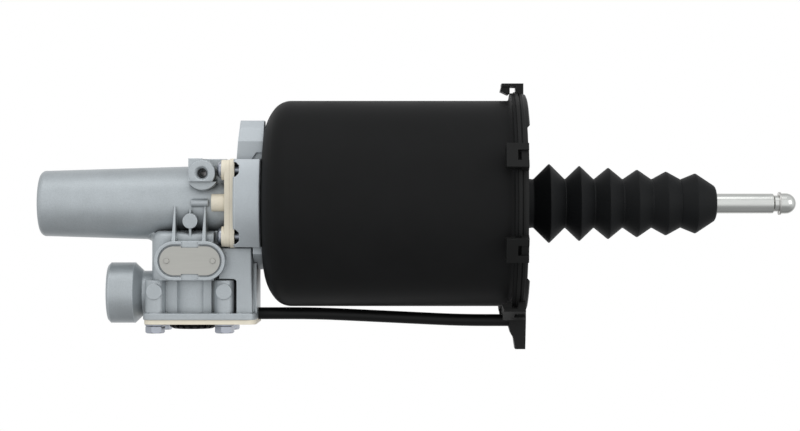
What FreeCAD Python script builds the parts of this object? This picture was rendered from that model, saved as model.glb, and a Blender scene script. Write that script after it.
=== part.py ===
import FreeCAD, Part
import math
import os

# A clutch servo: a hydraulic slave cylinder with a compressed-air power cylinder and a relay valve.
# Frame: +X runs along the cylinder towards the push rod, +Z is up, and the near side of the photograph is -Y.
# The origin is on the cylinder axis, in the plane of the machined face that meets the vehicle bracket.
# All sizes are in millimetres.

V = FreeCAD.Vector
X_DIR = V(1, 0, 0)
Y_DIR = V(0, 1, 0)
Z_DIR = V(0, 0, 1)

# Clearances
seal_gap = 0.1         # between a seal or guide and what slides in it
seat_gap = 0.05        # between a fixed piece and its seat
soft_gap = 0.3         # between pieces that pass each other without touching
screw_gap = 0.1        # round a screw's shank
piston_gap = 0.6       # between the piston's rim and the shell
stop_gap = 0.5         # between the piston and the cover at rest
bore_end_gap = 1.5     # between the plunger and the bore's end at full stroke
past = 1.0             # how far a cutting tool runs past the face that it opens

# Travels
stroke = 65.0          # of the power piston and the push rod
pilot_travel = 3.0     # of the pilot piston

# Hydraulic housing
cone_length = 111.1    # from the joint flange to the far rim
cone_end_r = 19.5
cone_root_r = 22.9
cone_crown = 2.0       # crown of the closed end
cone_edge_r = 3.0
hydraulic_bore_r = 14.5
hydraulic_end_wall = 5.0
spigot_r = 21.5        # that centres the joint flange and the spacer

# Joint flange, spacer and their four screws
joint_flange_t = 3.2
spacer_t = 2.7
joint_half_y = 31.4
joint_half_z = 25.6
spacer_margin = 0.6
joint_corner_r = 6.0
joint_screw_y = 25.5
joint_screw_z = 19.6
ear_pad_r = 6.0
ear_pad_t = 1.8
hub_r = 5.15
hub_length = 7.9
hub_y = 24.0
hub_z = 0.4
m6_r = 3.0
screw_head_r = 4.9
screw_head_t = 2.8
screw_socket_flats = 4.0
screw_socket_depth = 1.4
joint_screw_length = 19.0

# Mounting casting
casting_t = 16.0
casting_r = 45.0
casting_half_z = 25.7
casting_edge = 0.9
mount_circle_r = 37.0  # distance of the three mounting holes from the axis
mount_hole_r = 4.25
mount_hole_depth = 13.0
ear_half_width = 14.0
ear_top_half = 5.5
ear_shoulder_half = 9.0
ear_shoulder_rise = 8.2
ear_top_rise = 12.5
ear_draft_deg = 4.5
ear_relief_h = 4.5     # of the slanted step at the foot of the ear, beside the shell
ear_relief_w = 7.3
ear_relief_d = 1.6
ear_seat_r = 7.5       # of the flat seat that is faced round the ear's hole
lower_disc_r = 39.5
lower_half_y = 26.0
screw_notch_half = 4.3
screw_notch_t = 3.4
screw_notch_chamfer = 1.9
seal_pack_r = 16.5
seal_pack_depth = 14.5
seal_pack_gap = 0.4    # before the cup seal, and between it and the guide bush
cup_seal_length = 5.6
cup_lip_t = 1.2
cup_floor_t = 2.8
plunger_hole_gap = 1.5
oring_mean_r = 19.1
oring_r = 1.0
oring_groove_r = 1.1
air_way_r = 1.8
air_way_z = -22.5
air_sleeve_x = 5.5
air_sleeve_r = 3.0
air_sleeve_in_chest = 5.0
air_sleeve_in_casting = 3.0

# Air cylinder shell
shell_r = 61.5
shell_wall = 2.0
shell_length = 148.8
shell_flange_h = 4.5
shell_flange_t = 2.0
shell_flare_r = 2.4
shoulder_length = 16.0
shoulder_height = 22.0
shoulder_corner_r = 12.5
shell_hole_r = 19.0
shell_screw_circle_r = 25.0
shell_screw_count = 6
shell_screw_r = 2.5
shell_screw_head_r = 4.2
shell_screw_head_t = 2.8
shell_screw_length = 12.0

# Front cover
cover_t = 5.8
cover_overhang = 0.6   # of the cover's rim past the shell's flange
cover_lip_w = 1.9
cover_groove_w = 0.9
cover_groove_d = 1.1
cover_edge = 1.5
cover_pad_t = 1.6      # of the two raised segments
cover_pad_z = 43.5
cover_pad_edge = 2.4
cover_mouth_r = 11.8
cover_spigot_depth = 5.0
cover_spigot_t = 3.4
cover_rib_count = 12
cover_rib_t = 1.8
cover_rib_inner_r = 16.0
clip_angles = [22.5, 90.0, 157.5, 202.5, 247.5, 292.5, 337.5]
clip_width = 14.8
clip_gap = 3.6         # between the shell's flange and the clip's tab
clip_t = 2.0
clip_reach = 12.9      # of the tab behind the cover's front
clip_slot_width = 6.4
clip_slot_length = 6.4
clip_bridge_t = 4.4
hook_depth = 4.7
hook_length = 4.8
hook_side = 1.0        # by which the hook is narrower on each side
boot_collar_r = 17.4
boot_collar_h = 1.2

# Vent foot and tube
foot_half_y = 6.5
foot_drop = 20.4       # below the cover's rim
foot_back = 2.8        # behind the cover's back face
foot_front = 1.6       # in front of the cover's front face
foot_tip_back = 1.0
foot_tip_front = 7.0
foot_cheek = 3.9       # height of the socket's cheek below the tube's axis
foot_waist = 10.3
tube_r = 3.6
tube_bore_r = 2.6
tube_rise = 2.7        # of the tube's axis above the chest flange's bottom
tube_bend_share = 0.756 # of the largest bend radius that the pipe's run and drop allow
tube_rear_run = 20.0   # straight run beside the valve chest
tube_front_run = 16.0  # straight run behind the shell's end
tube_seat = 9.0
tube_socket_depth = 3.2

# Bellows
boot_wall = 1.6
boot_valley_r = 14.5
boot_first_apex_r = 23.9
boot_last_apex_r = 18.1
boot_folds = 6
boot_cuff = 6.2        # from the cover's face to the first valley
boot_cuff_r = 15.2
boot_cuff_seat = 2.0
boot_first_pitch = 19.0
boot_pitch = 17.3
boot_last_half = 8.9    # from the last valley to the last apex
boot_nose_length = 12.4
boot_nose_r = 10.6

# Push rod
rod_r = 6.0
rod_ball_r = 8.0
rod_neck_r = 5.0
rod_neck_length = 10.5
rod_length = 189.1     # from the ball's centre to the tip
rod_tip_r = 6.2
rod_head_w = 3.1
rod_groove_r = 4.9
rod_groove_w = 3.6
tip_ring_r = 6.9
tip_ring_t = 1.0
tip_ring_split = 1.6

# Power piston
piston_rim_w = 20.0
piston_rim_t = 6.0
piston_web_t = 5.0
piston_web_back = 7.0
piston_hub_r = 19.0
piston_hub_drop = 3.6
piston_rib_count = 8
piston_rib_t = 2.4
seal_groove_w = 5.0
seal_groove_d = 4.0
seal_groove_back = 3.0
guide_groove_w = 6.0
guide_groove_d = 2.0
guide_groove_front = 4.0
ball_setback = 14.0
retainer_r = 12.5
retainer_t = 7.0
retainer_offset = 2.0
retainer_hole_r = 5.9
plunger_r = 11.0
plunger_setback = 20.0
plunger_stub_r = 4.0
plunger_stub_length = 9.0
plunger_chamfer = 2.0

# Preload spring
spring_wire_r = 1.8
spring_mean_r = 33.5
spring_turns = 4

# Relay valve
valve_x = -27.0
valve_bore_r = 10.5
pilot_bore_r = 6.5
pilot_bore_bottom = -44.0
pilot_bore_top = -29.5
pilot_top = -31.0
pilot_flange_z = -45.2
pilot_flange_t = 2.8
nose_r = 4.0
nose_bottom = -54.4
seat_top = -53.3
seat_bottom = -55.7
seat_hole_r = 5.0
disc_r = 6.6
disc_t = 2.2
stem_r = 3.0
stem_bottom = -66.4
stem_bore_r = 1.6
guide_top = -62.0
valve_spring_wire_r = 0.4
pilot_spring_r = 7.2
inlet_spring_r = 4.8
valve_spring_turns = 2
flap_r = 4.6
flap_t = 0.8

# Valve chest
chest_left_x = -49.5
chest_upper_half_y = 25.0
chest_upper_top = -16.6
chest_upper_right = -12.6
chest_corner_r = 7.0
chest_brow_r = 4.5
chest_neck_half_y = 19.0
wall_half_y = 24.0
wall_left_x = -9.4
wall_right_x = 10.2
foot_right_x = 12.2
foot_wall_half_y = 17.0
foot_step_z = -35.0
chest_flange_t = 3.7
flange_bottom_z = -68.5
flange_left_x = -54.5
flange_half_y = 27.6
flange_corner_r = 6.0
valve_barrel_r = 14.4
valve_barrel_y = -6.0
lower_half_depth = 18.0
pillar_r = 6.0
pillar_top_z = -45.4
pillar_pad_r = 4.6
pillar_pad_h = 0.7
pillar_pad_z = -52.0
pocket_right_x = 0.8
pocket_back_y = 16.0
valve_screw_pitch = 41.0
base_plate_t = 2.8
base_plate_inset = 0.7

# Air port
air_port_z = -53.4
air_port_r = 18.1
air_port_left_x = -77.4
air_port_head = 15.9
air_port_edge = 1.5
air_port_cone = 5.2
air_neck_r = 13.1
air_thread_r = 10.2
air_thread_depth = 16.0
supply_r = 2.8

# Side ports
port_x = -19.2
port_z = 17.6
port_boss_r = 7.8
port_base_r = 9.7
port_face_y = 30.0
port_step_drop = 4.9
port_step_d = 3.5
port_block_top = 26.3
bleed_thread_r = 3.4
bleed_thread_depth = 10.0
bleed_chamfer = 0.6
fluid_thread_r = 5.2
fluid_thread_depth = 11.0
drill_r = 1.75

# Ribs on the near side of the barrel
gusset_xs = [-35.6, -17.8]
gusset_top_t = 0.7
gusset_root_t = 2.4
eject_pad_r = 4.4
eject_pad_y = 25.6
eject_pad_x = -26.5
eject_pad_z = -10.5
side_rib_r = 2.5
side_rib_length = 9.9
side_rib_y = 22.0

# Name plate and its boss
plate_boss_x = -25.9
plate_boss_z = -33.7
plate_boss_length = 41.2
plate_boss_r = 11.4
plate_boss_y = 33.0
plate_rim_h = 1.2
plate_rim_w = 1.8
plate_margin = 1.1     # between the rim and the name plate
name_plate_t = 0.8
plate_notch = 10.0
rivet_pitch = 27.0
rivet_r = 1.6
rivet_shank_r = 0.95
rivet_shank_length = 3.0

# Screws of the valve chest
hex_flats = 10.0
hex_height = 4.0
hex_turn_deg = 14.0
screw_collar_r = 6.1
screw_collar_t = 1.3
valve_screw_length = 16.0

# Exhaust silencer
silencer_r = 14.0
silencer_h = 3.4
silencer_floor = 1.2
silencer_plug_r = 8.6
silencer_ribs = 20
silencer_rib_gap = 1.8

# Places worked out from the sizes above
joint_left_x = -(joint_flange_t + spacer_t)
cone_rim_x = joint_left_x - cone_length
bore_end_x = cone_rim_x + hydraulic_end_wall
plunger_tip_x = bore_end_x + bore_end_gap + stroke
shell_inner_r = shell_r - shell_wall
shell_flange_r = shell_r + shell_flange_h
shell_end_x = casting_t + shell_length
cover_back_x = shell_end_x
cover_front_x = cover_back_x + cover_t
cover_r = shell_flange_r + cover_overhang
clip_inner_r = shell_flange_r + clip_gap
clip_outer_r = clip_inner_r + clip_t
piston_front_x = cover_back_x - cover_spigot_depth - stop_gap
piston_back_x = piston_front_x - piston_rim_w
piston_r = shell_inner_r - piston_gap
web_back_x = piston_back_x + piston_web_back
ball_x = piston_front_x - ball_setback
plunger_end_x = ball_x - plunger_setback
rod_tip_x = ball_x + rod_length
boot_start_x = cover_front_x + boot_cuff
boot_last_valley_x = boot_start_x + boot_first_pitch + (boot_folds - 2) * boot_pitch
boot_end_x = boot_last_valley_x + boot_last_half + boot_nose_length
base_top_z = flange_bottom_z
base_bottom_z = flange_bottom_z - base_plate_t
flange_top_z = flange_bottom_z + chest_flange_t
chest_top_z = -(joint_half_z + spacer_margin + soft_gap)
valve_screw_xs = [valve_x - valve_screw_pitch / 2, valve_x + valve_screw_pitch / 2]
valve_screw_y = valve_screw_pitch / 2
ear_seat_x = (mount_circle_r + ear_seat_r - casting_half_z) * math.tan(math.radians(ear_draft_deg))
tube_rear_z = flange_bottom_z + tube_rise
tube_front_z = -(shell_flange_r + soft_gap + tube_r + seat_gap)
tube_start_x = foot_right_x - tube_seat
name_plate_r = plate_boss_r - plate_rim_w - plate_margin
name_plate_length = plate_boss_length - 2 * (plate_rim_w + plate_margin)
rivet_xs = [plate_boss_x - rivet_pitch / 2, plate_boss_x + rivet_pitch / 2]
outlet_z = (seat_top + pilot_flange_z - pilot_flange_t - pilot_travel) / 2
supply_z = (seat_bottom + guide_top) / 2


def cyl(r, start, direction, length):
    """A cylinder of radius r that starts at a point and runs along a direction."""
    return Part.makeCylinder(r, length, V(*start), direction)


def box(low, high):
    """A box from its lowest corner to its highest corner."""
    return Part.makeBox(high[0] - low[0], high[1] - low[1], high[2] - low[2], V(*low))


def ring(outer, inner, start, direction, length):
    """A plain ring or tube."""
    return cyl(outer, start, direction, length).cut(cyl(inner, start, direction, length))


def turned(points):
    """A solid turned about the X axis from (x, radius) corners."""
    corners = [V(x, 0, r) for x, r in points]
    face = Part.Face(Part.makePolygon(corners + corners[:1]))
    return face.revolve(V(0, 0, 0), X_DIR, 360)


def turned_upright(points, x):
    """A solid turned about the upright line at x from (z, radius) corners."""
    corners = [V(r, 0, z) for z, r in points]
    face = Part.Face(Part.makePolygon(corners + corners[:1]))
    solid = face.revolve(V(0, 0, 0), Z_DIR, 360)
    solid.translate(V(x, 0, 0))
    return solid


def turned_edges(edges):
    """A solid turned about the X axis from a closed run of edges."""
    wire = Part.Wire(Part.sortEdges(edges)[0])
    return Part.Face(wire).revolve(V(0, 0, 0), X_DIR, 360)


def prism(corners, travel):
    """A flat outline pushed along a travel vector."""
    return Part.Face(Part.makePolygon(corners + corners[:1])).extrude(travel)


def arc_about(centre, start, end):
    """The shorter arc from start to end round a centre."""
    middle = (start - centre) + (end - centre)
    middle.normalize()
    radius = (start - centre).Length
    return Part.Arc(start, centre + middle * radius, end).toShape()


def mirrored(solid):
    """The same solid on the far side."""
    return solid.mirror(V(0, 0, 0), Y_DIR)


def fuse(first, *others):
    """One solid out of several that meet."""
    return first.fuse(list(others)).removeSplitter()


def fillet_along(solid, direction, radius, keep=None):
    """Rounds the straight edges that run along a direction, where keep allows it."""
    chosen = []
    for edge in solid.Edges:
        if edge.Curve.TypeId != "Part::GeomLine":
            continue
        parallel = abs(edge.tangentAt(edge.FirstParameter).dot(direction)) > 0.999
        if parallel and (keep is None or keep(edge.CenterOfMass)):
            chosen.append(edge)
    return solid.makeFillet(radius, chosen)


def plate_x(half_y, half_z, corner, low_x, high_x):
    """A plate across the X axis with rounded corners."""
    return fillet_along(box((low_x, -half_y, -half_z), (high_x, half_y, half_z)), X_DIR, corner)


def plate_z(low_x, high_x, half_y, corner, low_z, high_z):
    """A level plate with rounded corners."""
    return fillet_along(box((low_x, -half_y, low_z), (high_x, half_y, high_z)), Z_DIR, corner)


def stadium(length, r, y_low, y_high, x, z):
    """A prism along Y with round ends, its length along X."""
    half = length / 2 - r
    left = V(x - half, y_low, z)
    right = V(x + half, y_low, z)
    up = V(0, 0, r)
    arc_left = Part.Arc(left + up, left - V(r, 0, 0), left - up).toShape()
    arc_right = Part.Arc(right - up, right + V(r, 0, 0), right + up).toShape()
    bottom = Part.makeLine(left - up, right - up)
    top = Part.makeLine(right + up, left + up)
    return Part.Face(Part.Wire([arc_left, bottom, arc_right, top])).extrude(V(0, y_high - y_low, 0))


def coil(mean_r, wire_r, turns, length, z):
    """A compression spring that rises along Z from z: round wire along half-turn arcs.

    Each half turn is a tilted half circle, and neighbours share their tangent where they meet.
    """
    rise = length / (2 * turns)
    edges = []
    side = 1
    for i in range(2 * turns):
        low = V(side * mean_r, 0, z + i * rise)
        mid = V(0, side * mean_r, z + (i + 0.5) * rise)
        high = V(-side * mean_r, 0, z + (i + 1) * rise)
        edges.append(Part.Arc(low, mid, high).toShape())
        side = -side
    section = Part.Wire(Part.makeCircle(wire_r, V(mean_r, 0, z), Y_DIR))
    return Part.Wire(edges).makePipeShell([section], True, False)


def hex_along(flats, start, direction, length, turn_deg):
    """A hexagonal prism, turned about its own axis."""
    r = flats / math.sqrt(3)
    corners = []
    for i in range(6):
        a = math.radians(60 * i + turn_deg)
        if direction == X_DIR:
            corners.append(V(*start) + V(0, r * math.cos(a), r * math.sin(a)))
        else:
            corners.append(V(*start) + V(r * math.cos(a), r * math.sin(a), 0))
    return prism(corners, direction * length)


def save(name, shape):
    shape.exportStep("parts/" + name + ".step")
    solids = shape.Solids
    volume = round(sum(s.Volume for s in solids), 1)
    print(name, "solids", len(solids), "valid", shape.isValid(), "volume", volume)


def hydraulic_barrel():
    """The tapered barrel with its crowned and rounded closed end."""
    slope = (cone_root_r - cone_end_r) / cone_length
    side = V(cone_rim_x + cone_edge_r, 0, cone_end_r + slope * cone_edge_r)
    corner = V(cone_rim_x - 0.1, 0, cone_end_r - cone_edge_r * 0.3)
    cap_edge = V(cone_rim_x - cone_edge_r * 0.4, 0, cone_end_r - cone_edge_r)
    cap_mid = V(cone_rim_x - cone_crown * 0.78, 0, cone_end_r * 0.5)
    cap_top = V(cone_rim_x - cone_crown, 0, 0)
    root = V(joint_left_x, 0, cone_root_r)
    centre = V(joint_left_x, 0, 0)
    return turned_edges([
        Part.Arc(cap_top, cap_mid, cap_edge).toShape(),
        Part.Arc(cap_edge, corner, side).toShape(),
        Part.makeLine(side, root),
        Part.makeLine(root, centre),
        Part.makeLine(centre, cap_top),
    ])


def upper_chest():
    """The rounded shoulder of the valve chest that grows out of the barrel."""
    solid = box((chest_left_x, -chest_upper_half_y, pillar_top_z),
                (chest_upper_right, chest_upper_half_y, chest_upper_top))
    solid = fillet_along(solid, Z_DIR, chest_corner_r, lambda c: c.x < valve_x)
    brow = []
    for edge in solid.Edges:
        at_top = abs(edge.CenterOfMass.z - chest_upper_top) < 0.01
        if at_top and edge.CenterOfMass.x < chest_upper_right - 0.01:
            brow.append(edge)
    return solid.makeFillet(chest_brow_r, brow)


def port_block():
    """The cross-bar over the barrel that carries the bleed port and the fluid port."""
    near = cyl(port_boss_r, (port_x, -port_face_y, port_z), Y_DIR, port_face_y)
    base = cyl(port_base_r, (port_x, -port_face_y + port_step_d, port_z), Y_DIR, port_face_y - port_step_d)
    low_part = box((port_x - 2 * port_boss_r, -port_face_y, 0),
                   (port_x + 2 * port_boss_r, 0, port_z - port_step_drop))
    far = cyl(port_boss_r, (port_x, 0, port_z), Y_DIR, port_face_y)
    left = port_x - port_boss_r
    corner = box((left, -port_face_y, port_z - port_step_drop), (port_x, 0, port_block_top))
    saddle = box((left, -hydraulic_bore_r, port_z / 2), (joint_left_x, hydraulic_bore_r, port_block_top))
    step = box((left - past, -port_face_y - past, 0),
               (port_x + port_base_r + past, -port_face_y + port_step_d, port_z - port_step_drop))
    return fuse(near, corner, saddle, far).cut(step).fuse(base.common(low_part))


def barrel_ribs():
    """Gussets, the round pad with its stem and the half-round rib on the near side of the barrel."""
    boss_top = plate_boss_z + plate_boss_r
    inside = hydraulic_bore_r
    face = plate_boss_y
    made = []
    for x in gusset_xs:
        side = [V(x - cone_root_r, -inside, -1), V(x - cone_root_r, -cone_root_r, -1.6),
                V(x - cone_root_r, 1 - face, boss_top - 0.5), V(x - cone_root_r, -inside, boss_top - 3)]
        root = gusset_root_t / 2
        top = gusset_top_t / 2
        taper = [V(x - root, -face, boss_top - 3), V(x + root, -face, boss_top - 3), V(x + top, -face, 0),
                 V(x - top, -face, 0)]
        made.append(prism(side, V(2 * cone_root_r, 0, 0)).common(prism(taper, V(0, face, 0))))
    made.append(cyl(eject_pad_r, (eject_pad_x, -eject_pad_y, eject_pad_z), Y_DIR, eject_pad_y - inside))
    made.append(box((eject_pad_x - 0.7, 0.8 - eject_pad_y, boss_top - 1),
                    (eject_pad_x + 0.7, -inside, eject_pad_z)))
    made.append(box((eject_pad_x - 0.4, 1 - eject_pad_y, eject_pad_z), (eject_pad_x + 0.4, -inside, -3.5)))
    made.append(cyl(side_rib_r, (eject_pad_x + 0.6, -side_rib_y, 0.2), X_DIR, side_rib_length))
    return made


def lower_chest():
    """The valve barrel, the pillars for the screws, the right wall and the base flange."""
    neck = box((valve_x, -chest_neck_half_y, pillar_top_z),
               (joint_left_x, chest_neck_half_y, chest_upper_top))
    core = box((chest_left_x + 1, -lower_half_depth, flange_top_z),
               (wall_left_x, lower_half_depth, pillar_top_z))
    barrel = cyl(valve_barrel_r, (valve_x, valve_barrel_y, flange_top_z), Z_DIR, -40 - flange_top_z)
    wall = box((wall_left_x, -wall_half_y, flange_top_z), (wall_right_x, wall_half_y, chest_top_z))
    wall = fillet_along(wall, Z_DIR, 1.5, lambda c: c.x > 0)
    foot = box((wall_left_x, -foot_wall_half_y, flange_top_z), (foot_right_x, foot_wall_half_y, foot_step_z))
    flange = plate_z(flange_left_x, foot_right_x, flange_half_y, flange_corner_r,
                     flange_bottom_z, flange_top_z)
    pocket = box((wall_left_x - 5, -wall_half_y - past, flange_top_z),
                 (pocket_right_x, -pocket_back_y, pillar_top_z + 0.8))
    pocket = fillet_along(pocket, Y_DIR, 2.0, lambda c: c.x > 0 and c.z > flange_top_z + 1)
    body = fuse(neck, core, barrel, wall, foot).cut([pocket, mirrored(pocket)])
    extras = [flange]
    for x in valve_screw_xs:
        pillar = cyl(pillar_r, (x, -valve_screw_y, flange_top_z), Z_DIR, pillar_top_z - flange_top_z)
        pad = cyl(pillar_pad_r, (x, -valve_screw_y - pillar_r - pillar_pad_h, pillar_pad_z), Y_DIR, pillar_r)
        web = box((x - pillar_r, -valve_screw_y, flange_top_z), (x + pillar_r, -10, pillar_top_z))
        column = fuse(pillar, pad, web)
        extras += [column, mirrored(column)]
    return fuse(body, *extras)


def air_port():
    """The round supply port on the left of the chest, with its conical back and neck."""
    head_end = air_port_left_x + air_port_head
    neck_start = head_end + air_port_cone
    neck_end = valve_x - valve_barrel_r
    head = turned([
        (air_port_left_x, 0),
        (air_port_left_x, air_port_r - air_port_edge),
        (air_port_left_x + air_port_edge, air_port_r),
        (head_end, air_port_r),
        (neck_start, air_neck_r),
        (neck_end, air_neck_r),
        (neck_end, 0),
    ])
    head.translate(V(0, 0, air_port_z))
    return head


def name_plate_boss():
    """The boss for the name plate, with a raised rim that is open at the top and at the bottom."""
    face = -plate_boss_y
    boss = stadium(plate_boss_length, plate_boss_r, face, -10, plate_boss_x, plate_boss_z)
    rim = stadium(plate_boss_length, plate_boss_r, face - plate_rim_h, face + 1, plate_boss_x, plate_boss_z)
    hollow = stadium(plate_boss_length - 2 * plate_rim_w, plate_boss_r - plate_rim_w,
                     face - plate_rim_h - past, face, plate_boss_x, plate_boss_z)
    gap = box((plate_boss_x - plate_notch / 2, face - plate_rim_h - past, plate_boss_z - 2 * plate_boss_r),
              (plate_boss_x + plate_notch / 2, face, plate_boss_z + 2 * plate_boss_r))
    return fuse(boss, rim.cut(hollow).cut(gap))


def housing_bores():
    """Everything that is drilled or bored in the housing."""
    open_z = flange_bottom_z - past
    socket_z = chest_top_z - air_sleeve_in_chest
    tools = [
        cyl(hydraulic_bore_r, (bore_end_x, 0, 0), X_DIR, past - bore_end_x),
        cyl(valve_bore_r, (valve_x, 0, open_z), Z_DIR, pilot_bore_bottom - open_z),
        cyl(pilot_bore_r, (valve_x, 0, pilot_bore_bottom - past), Z_DIR,
            pilot_bore_top - pilot_bore_bottom + past),
        cyl(drill_r, (valve_x, 0, pilot_bore_top - past), Z_DIR,
            2 * past - pilot_bore_top - hydraulic_bore_r),
        cyl(air_thread_r, (air_port_left_x - past, 0, air_port_z), X_DIR, air_thread_depth + past),
        cyl(supply_r, (air_port_left_x + air_thread_depth - 2, 0, supply_z), X_DIR,
            valve_x - valve_bore_r / 2 - air_port_left_x - air_thread_depth),
        cyl(drill_r, (valve_x + valve_bore_r / 2, 0, outlet_z), X_DIR,
            air_sleeve_x - valve_x - valve_bore_r / 2),
        cyl(air_way_r, (air_sleeve_x, 0, outlet_z - 3), Z_DIR, chest_top_z + past - outlet_z + 3),
        cyl(air_sleeve_r + seat_gap, (air_sleeve_x, 0, socket_z), Z_DIR, air_sleeve_in_chest + past),
        cyl(bleed_thread_r, (port_x, -port_face_y - past, port_z), Y_DIR, bleed_thread_depth + past),
        Part.makeCone(bleed_thread_r + bleed_chamfer, bleed_thread_r, bleed_chamfer,
                      V(port_x, -port_face_y, port_z), Y_DIR),
        cyl(fluid_thread_r, (port_x, port_face_y - fluid_thread_depth, port_z), Y_DIR,
            fluid_thread_depth + past),
        cyl(drill_r, (port_x, bleed_thread_depth - port_face_y - past, port_z), Y_DIR,
            2 * port_face_y - bleed_thread_depth - fluid_thread_depth + 2 * past),
        cyl(drill_r, (port_x, 0, hydraulic_bore_r - 3), Z_DIR, port_z - hydraulic_bore_r + 3),
        cyl(tube_r + seat_gap, (tube_start_x, 0, tube_rear_z), X_DIR, tube_seat + past),
        cyl(drill_r, (valve_x + valve_bore_r / 2, 0, tube_rear_z), X_DIR,
            tube_start_x - valve_x - valve_bore_r / 2 + past),
    ]
    for x in valve_screw_xs:
        for side in (-1, 1):
            tools.append(cyl(m6_r + seat_gap, (x, side * valve_screw_y, open_z), Z_DIR,
                             valve_screw_length - base_plate_t + 2))
    for x in rivet_xs:
        tools.append(cyl(rivet_shank_r + seat_gap, (x, -plate_boss_y - past, plate_boss_z), Y_DIR,
                         rivet_shank_length + 1 + past))
    return tools


def servo_housing():
    spigot = cyl(spigot_r - seat_gap, (joint_left_x - past, 0, 0), X_DIR, past - joint_left_x)
    body = fuse(hydraulic_barrel(), spigot, upper_chest(), lower_chest(), port_block(), air_port(),
                name_plate_boss(), *barrel_ribs())
    return body.cut(housing_bores())


def joint_screw_places():
    return [(sy * joint_screw_y, sz * joint_screw_z) for sy in (-1, 1) for sz in (-1, 1)]


def joint_screw_holes(start, length, r):
    return [cyl(r, (start, y, z), X_DIR, length) for y, z in joint_screw_places()]


def joint_flange():
    made = [plate_x(joint_half_y, joint_half_z, joint_corner_r, joint_left_x, -spacer_t)]
    for y, z in joint_screw_places():
        made.append(cyl(ear_pad_r, (joint_left_x - ear_pad_t, y, z), X_DIR, ear_pad_t + 1))
    made.append(cyl(hub_r, (joint_left_x - hub_length, -hub_y, hub_z), X_DIR, hub_length + 1))
    body = fuse(*made)
    tools = [cyl(spigot_r, (joint_left_x - past, 0, 0), X_DIR, joint_flange_t + 2 * past),
             cyl(cone_root_r + soft_gap, (joint_left_x - hub_length - past, 0, 0), X_DIR, hub_length + past)]
    return body.cut(tools + joint_screw_holes(joint_left_x - 5, 10, m6_r + screw_gap))


def spacer_plate():
    plate = plate_x(joint_half_y + spacer_margin, joint_half_z + spacer_margin, joint_corner_r, -spacer_t, 0)
    plate = plate.cut(cyl(spigot_r, (-spacer_t - past, 0, 0), X_DIR, spacer_t + 2 * past))
    return plate.cut(joint_screw_holes(-spacer_t - past, spacer_t + 2 * past, m6_r + screw_gap))


def joint_screws():
    head_x = joint_left_x - ear_pad_t
    left = head_x - screw_head_t
    tip = head_x + joint_screw_length
    screw = turned([
        (left, 0), (left, screw_head_r * 0.5), (left + 0.5, screw_head_r * 0.78),
        (left + 1.3, screw_head_r * 0.95), (left + 2.0, screw_head_r), (head_x, screw_head_r),
        (head_x, m6_r), (tip - 1, m6_r), (tip, m6_r - 1),
        (tip, 0)])
    screw = screw.cut(hex_along(screw_socket_flats, (left - past, 0, 0), X_DIR, screw_socket_depth + past, 0))
    made = []
    for y, z in joint_screw_places():
        one = screw.copy()
        one.translate(V(0, y, z))
        made.append(one)
    return Part.makeCompound(made)


def joint_oring():
    return Part.makeTorus(oring_mean_r, oring_r, V(oring_r + seat_gap, 0, 0), X_DIR)


def upper_ear():
    """The ear that stands above the casting, narrower and thinner towards its top."""
    shoulder = mount_circle_r + ear_shoulder_rise
    top = mount_circle_r + ear_top_rise
    outline = [V(0, -ear_half_width, 0), V(0, ear_half_width, 0), V(0, ear_half_width, mount_circle_r),
               V(0, ear_shoulder_half, shoulder), V(0, ear_top_half, top), V(0, -ear_top_half, top),
               V(0, -ear_shoulder_half, shoulder), V(0, -ear_half_width, mount_circle_r)]
    ear = prism(outline, V(casting_t, 0, 0))
    wide = 2 * ear_half_width
    draft = box((-casting_t, -wide, 0), (0, wide, 2 * top))
    draft.rotate(V(0, 0, casting_half_z), Y_DIR, ear_draft_deg)
    ear = ear.cut(draft.common(box((-casting_t, -wide, casting_half_z), (casting_t, wide, 2 * top))))
    left = casting_t - ear_relief_w
    foot = casting_half_z
    step = prism([V(left, 0, foot), V(left + ear_relief_h * 0.7, 0, foot + ear_relief_h),
                  V(casting_t + past, 0, foot + ear_relief_h), V(casting_t + past, 0, foot)],
                 V(0, ear_relief_d + past, 0))
    step.translate(V(0, -ear_half_width - past, 0))
    return ear.cut([step, mirrored(step)])


def screw_notch(z):
    """The channel that lets a joint screw's end be seen and reached from the near side."""
    half = screw_notch_half
    deep = screw_notch_t
    c = screw_notch_chamfer
    corners = [V(-past, 0, z - half), V(deep - c, 0, z - half), V(deep, 0, z - half + c),
               V(deep, 0, z + half - c), V(deep - c, 0, z + half), V(-past, 0, z + half)]
    notch = prism(corners, V(0, casting_r, 0))
    notch.translate(V(0, joint_screw_y - half, 0))
    return notch


def shell_screw_places():
    made = []
    for i in range(shell_screw_count):
        a = 2 * math.pi * i / shell_screw_count
        made.append((shell_screw_circle_r * math.cos(a), shell_screw_circle_r * math.sin(a)))
    return made


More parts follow.
